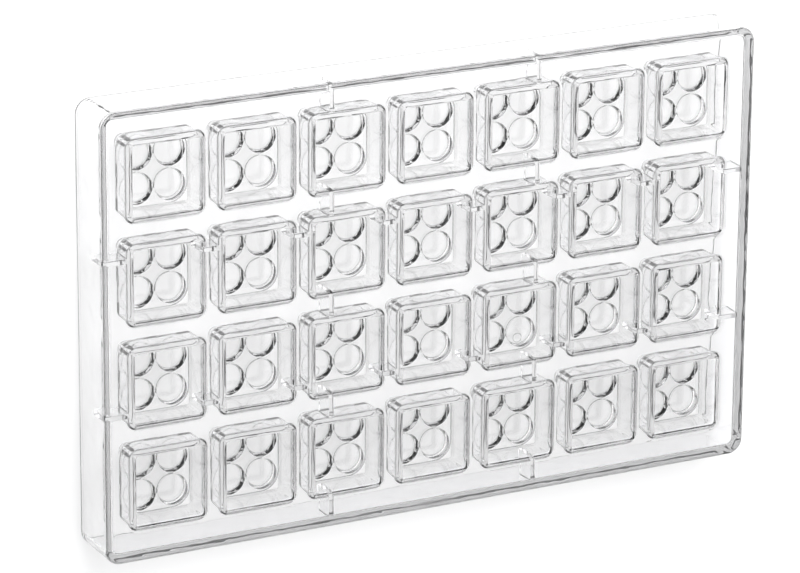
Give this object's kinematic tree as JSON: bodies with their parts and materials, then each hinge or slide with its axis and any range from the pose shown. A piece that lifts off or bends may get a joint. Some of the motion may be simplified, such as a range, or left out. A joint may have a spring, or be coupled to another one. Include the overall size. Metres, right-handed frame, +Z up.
{
  "type": "chocolate mould",
  "caption": "Rigid clear moulding tray with a grid of square cavities, each with four round studs in its floor, on a shallow skirt.",
  "frame": {"origin": "middle of the rectangle that the skirt's rim rests on", "axes": "+X along the long side, +Y along the short side, +Z up from the rim to the plate with the cavity mouths"},
  "size_m": [0.275, 0.175, 0.024],
  "materials": {
    "clear_polycarbonate": "clear gloss"
  },
  "bodies": {
    "root": {"mould": "clear_polycarbonate"}
  },
  "joints": []
}
